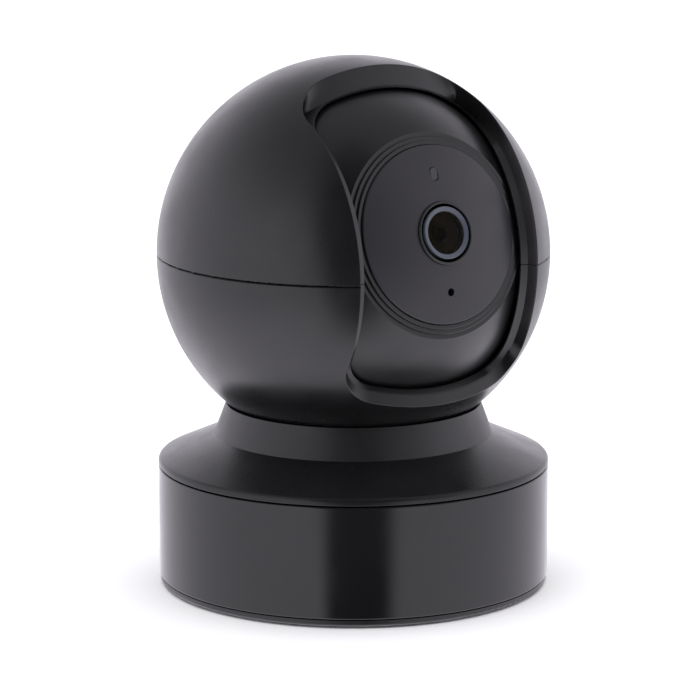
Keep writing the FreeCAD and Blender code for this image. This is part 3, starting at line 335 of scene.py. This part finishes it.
def make_world():
    """A pale room. What the object mirrors is bright at the sides and from the table. It is dim overhead,
    in an upright strip behind the viewer and in a screen to the right of the strip."""
    world = bpy.data.worlds.new("studio")
    bpy.context.scene.world = world
    world.use_nodes = True
    nodes = Nodes(world.node_tree)
    place = nodes.add("ShaderNodeTexCoord")
    split = nodes.add("ShaderNodeSeparateXYZ")
    nodes.link(place.outputs["Generated"], split.inputs[0])
    x, y, z = split.outputs
    flat = nodes.value(
        "SQRT", nodes.value("ADD", nodes.value("MULTIPLY", x, x), nodes.value("MULTIPLY", y, y))
    )
    middle = VIEW_AZIMUTH + SHADE_TURN
    along = nodes.value(
        "ADD", nodes.value("MULTIPLY", x, sin(middle)), nodes.value("MULTIPLY", y, -cos(middle))
    )
    towards = nodes.value("DIVIDE", along, nodes.value("MAXIMUM", flat, 0.001))
    height = nodes.value("ADD", z, SHADE_SPREAD_FROM)
    widened = nodes.value("ADD", towards, nodes.value("MULTIPLY", height, SHADE_SPREAD))
    strip = nodes.ramp(widened, cos(SHADE_EDGES[0]), cos(SHADE_EDGES[1]))
    strip = nodes.value("MULTIPLY", strip, nodes.ramp(z, *SHADE_FLOOR))
    lit = nodes.value("SUBTRACT", 1.0, nodes.value("MULTIPLY", strip, 1 - SHADE_LEVEL))
    screen = nodes.add("ShaderNodeVectorMath", operation="DOT_PRODUCT")
    nodes.link(place.outputs["Generated"], screen.inputs[0])
    flat_share = cos(SCREEN_ELEVATION)
    screen.inputs[1].default_value = (
        sin(SCREEN_AZIMUTH) * flat_share,
        -cos(SCREEN_AZIMUTH) * flat_share,
        sin(SCREEN_ELEVATION),
    )
    screened = nodes.ramp(
        screen.outputs["Value"], cos(SCREEN_EDGES[0]), cos(SCREEN_EDGES[1]), 1.0, SCREEN_LEVEL
    )
    lit = nodes.value("MULTIPLY", lit, screened)
    upper = nodes.ramp(z, sin(UPPER_FADE[0]), sin(UPPER_FADE[1]), SIDE_LEVEL, TOP_LEVEL)
    table = nodes.ramp(z, -sin(TABLE_FADE[0]), -sin(TABLE_FADE[1]), 0.0, TABLE_LEVEL - SIDE_LEVEL)
    level = nodes.value("MULTIPLY", nodes.value("ADD", upper, table), lit)
    room = nodes.add("ShaderNodeBackground")
    nodes.link(level, room.inputs["Strength"])
    room.inputs["Color"].default_value = (*ROOM_TINT, 1)
    backdrop = nodes.add("ShaderNodeBackground")
    backdrop.inputs["Color"].default_value = (1, 1, 1, 1)
    backdrop.inputs["Strength"].default_value = 1.0
    path = nodes.add("ShaderNodeLightPath")
    mix = nodes.add("ShaderNodeMixShader")
    nodes.link(path.outputs["Is Camera Ray"], mix.inputs["Fac"])
    nodes.link(room.outputs[0], mix.inputs[1])
    nodes.link(backdrop.outputs[0], mix.inputs[2])
    output = nodes.add("ShaderNodeOutputWorld")
    nodes.link(mix.outputs[0], output.inputs["Surface"])


def make_floor():
    """A pale floor: a wide disc with a faint drift in its tone."""
    mesh = bpy.data.meshes.new("floor")
    build = bmesh.new()
    bmesh.ops.create_circle(build, cap_ends=True, radius=6.0, segments=96)
    build.to_mesh(mesh)
    build.free()
    floor = bpy.data.objects.new("floor", mesh)
    bpy.context.scene.collection.objects.link(floor)
    material, nodes, shader = new_material("floor")
    shade = nodes.blend(nodes.noise(6, 2.0), (0.93, 0.93, 0.93), (0.95, 0.95, 0.95))
    nodes.link(shade, shader.inputs["Base Color"])
    set_sockets(shader, Roughness=0.9)
    mesh.materials.append(material)
    floor.visible_glossy = False


def make_light():
    """A broad soft light overhead, which keeps the floor pale."""
    data = bpy.data.lights.new("key", "AREA")
    data.shape, data.size, data.energy = "DISK", KEY_SIZE, KEY_POWER
    lamp = bpy.data.objects.new("key", data)  # it shines straight down as it is made
    lamp.location = (0, 0, KEY_HEIGHT)
    lamp.visible_glossy = False
    bpy.context.scene.collection.objects.link(lamp)


# ---------------------------------------------------------------- the ball's half shells
#
# Millimetres about the ball's centre in this section. Angles are about the tilt axis, up from where the
# lens would look when level.

BALL_R = (CAD_BOX[1].z - CENTRE.z) / MM
INNER_R, FOOT_R, LIP_R, RIM_R = BALL_R - 2.0, BALL_R - 2.4, BALL_R - 3.6, BALL_R - 4.0
OUTER_OPENING = {"half": 23.4, "low": radians(-41.5), "high": radians(77.7), "corners": (7.0, 10.0)}
FOOT_OPENING = {"half": 22.4, "low": radians(-40.0), "high": radians(77.7), "corners": (6.5, 9.5)}
INNER_OPENING = {"half": 20.8, "low": radians(-39.8), "high": radians(72.6), "corners": (6.0, 8.0)}
SIDE_R = sqrt(BALL_R**2 - OUTER_OPENING["half"] ** 2)  # the opening's side edges, from the tilt axis
TOP_DROP = 3.1  # how far forward the top wall slopes
TOP_FROM, TOP_TO = radians(40), radians(66)  # where the walls turn from the sides' depth to the top's
EDGE_ROUND = 0.28  # about the radius of the opening's outer edge
RIM_BAND = 6.0  # width of the thick rim inside
SEAM_HALF, GROOVE_HALF, GROOVE_DEPTH = 0.08, 0.30, 0.22
FLOOR_LOW, FLOOR_HIGH, BORE_R = -42.0, -40.2, 5.2
HUB_SCREWS, HUB_SCREW_CIRCLE, HUB_SCREW_TURN = 3, 10.4, 30
HUB_HOLE_R, HUB_HEAD_R, HUB_HEAD_DEPTH = 1.1, 2.2, 1.1
GRILLE_TILT, GRILLE_PITCH, GRILLE_RINGS, GRILLE_HOLE_R = radians(-19.0), 2.3, 3, 0.6
GRILLE_FROM, GRILLE_TO = 38, 47  # what the grille's holes cut through, from the ball's centre
TO_BACK = Matrix.Rotation(-pi / 2 + GRILLE_TILT, 3, "X")  # from +Z to where the speaker looks
ROOT_R = 43  # posts end inside the wall
BOSS_PLACES = [(x, y) for x in (-31.2, 31.2) for y in (-9, 9)]  # for the tilt brackets
BOSS_R, BOSS_TOP, PILOT_R, PILOT_DEPTH = 2.8, -20.0, 0.9, 7
STAKE_PLACES = [(x, y) for x in (-18.5, 18.5) for y in (-8, 8)]  # for the main board, seen from the back
STAKE_R, STAKE_PIN_R, STAKE_PIN = 1.8, 1.1, 2.3
BOARD_TOP = 33.1
PAST = 2  # how far a hole is cut past the floor
RING_FROM, RING_STEPS = radians(38.8), 120  # the locating ring, from straight ahead
RING_IN_R, RING_SEAT_R = 40.8, 42.9
RING_FLANK_R = (41.92, 41.9)  # its upper part leans in a little
RING_LOW, RING_STEP, RING_TOP = -2.0, -0.6, 1.6
SHARP_EDGE = radians(32)
ON_SPHERE, FACING_OUT = 2e-3, 0.97  # what counts as the sphere's outside when it is shaded
AT_SEAM, NEAR_OUTSIDE = 1e-3, 0.5  # what counts as the seam's outer edge
FLOOR_REACH = 3  # how far above a floor its dome is cut into edges
STRETCH_POINTS = (26, 26, 110, 34, 26)  # along half of the opening's edge, from the bottom's middle
BACK_ROWS, ROUND_ROWS, WALL_ROWS, LEDGE_ROWS, BAND_ROWS, INNER_ROWS = 90, 7, 4, 4, 3, 30


def half_outline(opening, stretch, share):
    """A point of the opening's edge as (x, angle), on its +X side. The stretches are half the bottom, the
    low corner, the side, the high corner and half the top."""
    half, low, high = opening["half"], opening["low"], opening["high"]
    low_corner, high_corner = opening["corners"]
    height = SIDE_R * (high - low)
    turn = share * pi / 2
    x, y = (
        (share * (half - low_corner), 0.0),
        (half - low_corner * (1 - sin(turn)), low_corner * (1 - cos(turn))),
        (half, low_corner + share * (height - low_corner - high_corner)),
        (half - high_corner * (1 - cos(turn)), height - high_corner * (1 - sin(turn))),
        ((1 - share) * (half - high_corner), height),
    )[stretch]
    return x, low + y / SIDE_R


def outline_places():
    """Every place round the opening, as (stretch, share, side)."""
    right = [(k, n / count, 1) for k, count in enumerate(STRETCH_POINTS) for n in range(count)]
    top = [(len(STRETCH_POINTS) - 1, 1.0, 1)]
    left = [(k, share, -1) for k, share, _ in reversed(right[1:])]
    return right + top + left


def about_tilt(x, angle, around):
    """The point at x, at an angle and a distance from the tilt axis."""
    return Vector((x, -around * cos(angle), around * sin(angle)))


def on_ball(radius, x, angle):
    return about_tilt(x, angle, sqrt(radius**2 - x**2))


def slerp(one, other, share):
    """A direction between two directions."""
    angle = one.angle(other)
    return (one * sin((1 - share) * angle) + other * sin(share * angle)) / sin(angle)


def smooth_step(value, low, high):
    share = min(max((value - low) / (high - low), 0.0), 1.0)
    return share * share * (3 - 2 * share)


def shell_section(stretch, share, side):
    """The shell's section at one place round the opening: from the back of the ball over the outside, the
    rounded edge, the sloping wall, the ledge, the lip and the inside to the back again."""
    x, angle = half_outline(OUTER_OPENING, stretch, share)
    foot_x, foot_angle = half_outline(FOOT_OPENING, stretch, share)
    inner_x, inner_angle = half_outline(INNER_OPENING, stretch, share)
    towards_top = smooth_step(angle, TOP_FROM, TOP_TO)
    foot_x += (x - foot_x) * towards_top
    foot_sphere = FOOT_R + (LIP_R - FOOT_R) * towards_top
    x, foot_x, inner_x = x * side, foot_x * side, inner_x * side
    edge = on_ball(BALL_R, x, angle)
    foot_r = sqrt(foot_sphere**2 - foot_x**2)
    ahead_of_top = edge.yz.length * sin(OUTER_OPENING["high"] - angle)
    drop = max(0.0, TOP_DROP - max(ahead_of_top, 0.0)) if angle > 0 else 0.0
    foot_angle -= drop / foot_r
    foot = about_tilt(foot_x, foot_angle, foot_r)
    lip = on_ball(LIP_R, inner_x, inner_angle)
    back = -on_ball(1.0, 0.0, (OUTER_OPENING["low"] + OUTER_OPENING["high"]) / 2)
    start = edge.normalized()
    outward = (back - start * back.dot(start)).normalized()
    inward = (foot - edge).normalized()
    half_corner = inward.angle(outward) / 2
    setback = EDGE_ROUND * cos(half_corner) / sin(half_corner)
    round_from = slerp(start, back, setback / BALL_R / start.angle(back))
    round_to = edge + inward * setback
    points = [slerp(round_from, back, 1 - n / BACK_ROWS) * BALL_R for n in range(1, BACK_ROWS)]
    points.append(round_from * BALL_R)
    for n in range(1, ROUND_ROWS + 1):
        t = n / ROUND_ROWS
        points.append(round_from * BALL_R * (1 - t) ** 2 + edge * 2 * t * (1 - t) + round_to * t * t)
    points += [round_to.lerp(foot, n / WALL_ROWS) for n in range(1, WALL_ROWS + 1)]
    points += [foot.lerp(lip, n / LEDGE_ROWS) for n in range(1, LEDGE_ROWS + 1)]
    rim = on_ball(1.0, inner_x / RIM_R, inner_angle)
    band = RIM_BAND / RIM_R / rim.angle(back)
    points += [slerp(rim, back, band * n / BAND_ROWS) * RIM_R for n in range(BAND_ROWS + 1)]
    points += [slerp(rim, back, band + (1 - band) * n / INNER_ROWS) * INNER_R for n in range(INNER_ROWS)]
    return points, back


def ball_mesh():
    """The whole shell as one closed mesh: sections joined all round, with a pole outside and one inside."""
    build = bmesh.new()
    sections = []
    for place in outline_places():
        points, back = shell_section(*place)
        sections.append([build.verts.new(point) for point in points])
    outer_pole, inner_pole = build.verts.new(back * BALL_R), build.verts.new(back * INNER_R)
    for one, other in zip(sections, sections[1:] + sections[:1]):
        build.faces.new((outer_pole, one[0], other[0]))
        for n in range(len(one) - 1):
            build.faces.new((one[n], one[n + 1], other[n + 1], other[n]))
        build.faces.new((one[-1], inner_pole, other[-1]))
    bmesh.ops.recalc_face_normals(build, faces=build.faces)
    return build


def cut_off(build, height, keep_above):
    """Cuts a mesh at a height and closes it with a flat face."""
    bmesh.ops.bisect_plane(
        build,
        geom=[*build.verts, *build.edges, *build.faces],
        plane_co=(0, 0, height),
        plane_no=(0, 0, 1),
        clear_inner=keep_above,
        clear_outer=not keep_above,
    )
    rim = [edge for edge in build.edges if edge.is_boundary]
    bmesh.ops.triangle_fill(build, edges=rim, use_beauty=True, use_dissolve=False)


def split_line(build, height, chosen=None):
    """Adds edges where a mesh crosses a height."""
    faces = [face for face in build.faces if chosen is None or chosen(face)]
    edges = {edge for face in faces for edge in face.edges}
    verts = {vert for face in faces for vert in face.verts}
    bmesh.ops.bisect_plane(
        build, geom=[*verts, *edges, *faces], plane_co=(0, 0, height), plane_no=(0, 0, 1), dist=1e-5
    )


def chamfer_seam(build, height):
    """Draws the outer edge of the joint in a little, so that the two halves make a fine V."""
    for vert in build.verts:
        if abs(vert.co.z - height) < AT_SEAM and vert.co.length > BALL_R - NEAR_OUTSIDE:
            vert.co *= 1 - GROOVE_DEPTH / BALL_R


def flat_floor(build, height, outside):
    """Flattens the bottom of the outside or of the inside of the shell at a height."""
    middle = (BALL_R + INNER_R) / 2

    def chosen(face):
        centre = face.calc_center_median()
        return centre.z < height + FLOOR_REACH and (centre.length > middle) == outside

    split_line(build, height, chosen)
    for vert in build.verts:
        if vert.co.z < height and (vert.co.length > middle) == outside:
            vert.co.z = height


def skin(name, build, rings):
    """Joins rings of points, one to the next, and closes both ends."""
    count = len(rings[0])
    for low, high in zip(rings, rings[1:]):
        for a, b in zip(range(count), [*range(1, count), 0]):
            build.faces.new((low[a], low[b], high[b], high[a]))
    build.faces.new(rings[0])
    build.faces.new(rings[-1])
    bmesh.ops.recalc_face_normals(build, faces=build.faces)
    return new_object(name, build)


def bar(profile, place=(0, 0), turn=None, count=32, low_end=None):
    """A closed round bar along Z from (radius, height) pairs, low end first. low_end gives the height of
    each point of the low end in place of the pair's; turn is a matrix applied last."""
    build = bmesh.new()
    rings = []
    for row, (radius, z) in enumerate(profile):
        ring = []
        for n in range(count):
            angle = 2 * pi * n / count
            point = Vector((place[0] + radius * cos(angle), place[1] + radius * sin(angle), z))
            if low_end and row == 0:
                point.z = low_end(point)
            ring.append(build.verts.new(turn @ point if turn else point))
        rings.append(ring)
    return skin("bar", build, rings)


def locating_ring():
    """The lower half's thin ring that centres the upper half, open at the front."""
    outline = [
        (RING_IN_R, RING_LOW),
        (RING_SEAT_R, RING_LOW),
        (RING_SEAT_R, RING_STEP),
        (RING_FLANK_R[0], RING_STEP),
        (RING_FLANK_R[1], RING_TOP),
        (RING_IN_R, RING_TOP),
    ]
    build = bmesh.new()
    rings = []
    for n in range(RING_STEPS + 1):
        angle = RING_FROM + (2 * pi - 2 * RING_FROM) * n / RING_STEPS
        rings.append([build.verts.new((r * sin(angle), -r * cos(angle), z)) for r, z in outline])
    return skin("locating_ring", build, rings)


def new_object(name, build):
    mesh = bpy.data.meshes.new(name)
    build.to_mesh(mesh)
    build.free()
    made = bpy.data.objects.new(name, mesh)
    bpy.context.scene.collection.objects.link(made)
    return made


def joined(name, objects):
    """One object from several."""
    build = bmesh.new()
    for item in objects:
        build.from_mesh(item.data)
        bpy.data.objects.remove(item)
    return new_object(name, build)


def combine(target, tool, operation):
    """A boolean, applied. The tool is used up."""
    change = target.modifiers.new("combine", "BOOLEAN")
    change.object, change.operation, change.solver = tool, operation, "MANIFOLD"
    graph = bpy.context.evaluated_depsgraph_get()
    mesh = bpy.data.meshes.new_from_object(target.evaluated_get(graph))
    target.modifiers.clear()
    target.data = mesh
    bpy.data.objects.remove(tool)


def root_height(point):
    """How far a post's root is from the ball's centre, measured along the post."""
    return sqrt(ROOT_R**2 - point.x**2 - point.y**2)


def inner_posts():
    """What stands inside the lower half: the ring, bosses for the tilt brackets, stakes for the board."""
    posts = [locating_ring()]
    for place in BOSS_PLACES:
        profile = [(BOSS_R, 0), (BOSS_R, BOSS_TOP)]
        posts.append(bar(profile, place, low_end=lambda point: -root_height(point)))
    for place in STAKE_PLACES:
        pin = [(STAKE_PIN_R, BOARD_TOP - STAKE_PIN), (STAKE_PIN_R, BOARD_TOP)]
        post = [(STAKE_R, BOARD_TOP), (STAKE_R, root_height(Vector((*place, 0))))]
        posts.append(bar(pin + post, place, TO_BACK))
    return joined("posts", posts)


def holes():
    """The cable's bore, the screw holes and the speaker's grille."""
    made = [bar([(BORE_R, FLOOR_LOW - PAST), (BORE_R, FLOOR_HIGH + PAST)], count=64)]
    hole = [(HUB_HOLE_R, FLOOR_LOW - PAST), (HUB_HOLE_R, FLOOR_HIGH - HUB_HEAD_DEPTH)]
    countersink = [(HUB_HEAD_R, FLOOR_HIGH), (HUB_HEAD_R, FLOOR_HIGH + 0.2)]
    for n in range(HUB_SCREWS):
        turn = radians(HUB_SCREW_TURN + 360 / HUB_SCREWS * n)
        made.append(bar(hole + countersink, (HUB_SCREW_CIRCLE * cos(turn), HUB_SCREW_CIRCLE * sin(turn))))
    pilot = [(PILOT_R, BOSS_TOP - PILOT_DEPTH), (PILOT_R, BOSS_TOP + 1)]
    made += [bar(pilot, place, count=20) for place in BOSS_PLACES]
    places = [(0.0, 0.0)]
    for ring in range(1, GRILLE_RINGS + 1):
        for n in range(6 * ring):
            turn = 2 * pi * n / (6 * ring)
            places.append((ring * GRILLE_PITCH * cos(turn), ring * GRILLE_PITCH * sin(turn)))
    hole = [(GRILLE_HOLE_R, GRILLE_FROM), (GRILLE_HOLE_R, GRILLE_TO)]
    made += [bar(hole, place, TO_BACK, count=24) for place in places]
    return joined("holes", made)


def smooth_ball(mesh):
    """Shades the sphere exactly, and everything else by the angle between its faces."""
    mesh.polygons.foreach_set("use_smooth", [True] * len(mesh.polygons))
    mesh.set_sharp_from_angle(angle=SHARP_EDGE)
    corners = np.empty(len(mesh.loops) * 3, np.float32)
    mesh.corner_normals.foreach_get("vector", corners)
    corners = corners.reshape(-1, 3)
    points = np.empty(len(mesh.vertices) * 3, np.float32)
    mesh.vertices.foreach_get("co", points)
    points = points.reshape(-1, 3)
    index = np.empty(len(mesh.loops), np.int32)
    mesh.loops.foreach_get("vertex_index", index)
    at = points[index]
    distance = np.linalg.norm(at, axis=1)
    radial = at / distance[:, None]
    on_outside = (np.abs(distance - BALL_R) < ON_SPHERE) & ((radial * corners).sum(1) > FACING_OUT)
    corners[on_outside] = radial[on_outside]
    mesh.normals_split_custom_set(corners.tolist())


def ball_half(name, node, upper):
    """One half shell, in place and in metres."""
    edge = SEAM_HALF if upper else -SEAM_HALF
    build = ball_mesh()
    split_line(build, GROOVE_HALF if upper else -GROOVE_HALF)
    if not upper:
        flat_floor(build, FLOOR_HIGH, False)
        flat_floor(build, FLOOR_LOW, True)
    cut_off(build, edge, upper)
    chamfer_seam(build, edge)
    bmesh.ops.recalc_face_normals(build, faces=build.faces)
    half = new_object(name, build)
    if not upper:
        combine(half, inner_posts(), "UNION")
        combine(half, holes(), "DIFFERENCE")
    smooth_ball(half.data)
    half.data.transform(Matrix.Translation(CENTRE) @ Matrix.Scale(MM, 4))
    half.data.materials.clear()
    half.data.materials.append(MATERIALS["ball_plastic"])
    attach(half, "head")
    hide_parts(node)


# ---------------------------------------------------------------- the scene

bpy.context.scene.view_settings.view_transform = "Standard"
make_camera()
make_world()
make_floor()
make_light()
MATERIALS = make_materials()
paint_nodes(MATERIALS)
ball_half("ball_upper_half", "ball_upper_shell", True)
ball_half("ball_lower_half", "ball_lower_shell", False)
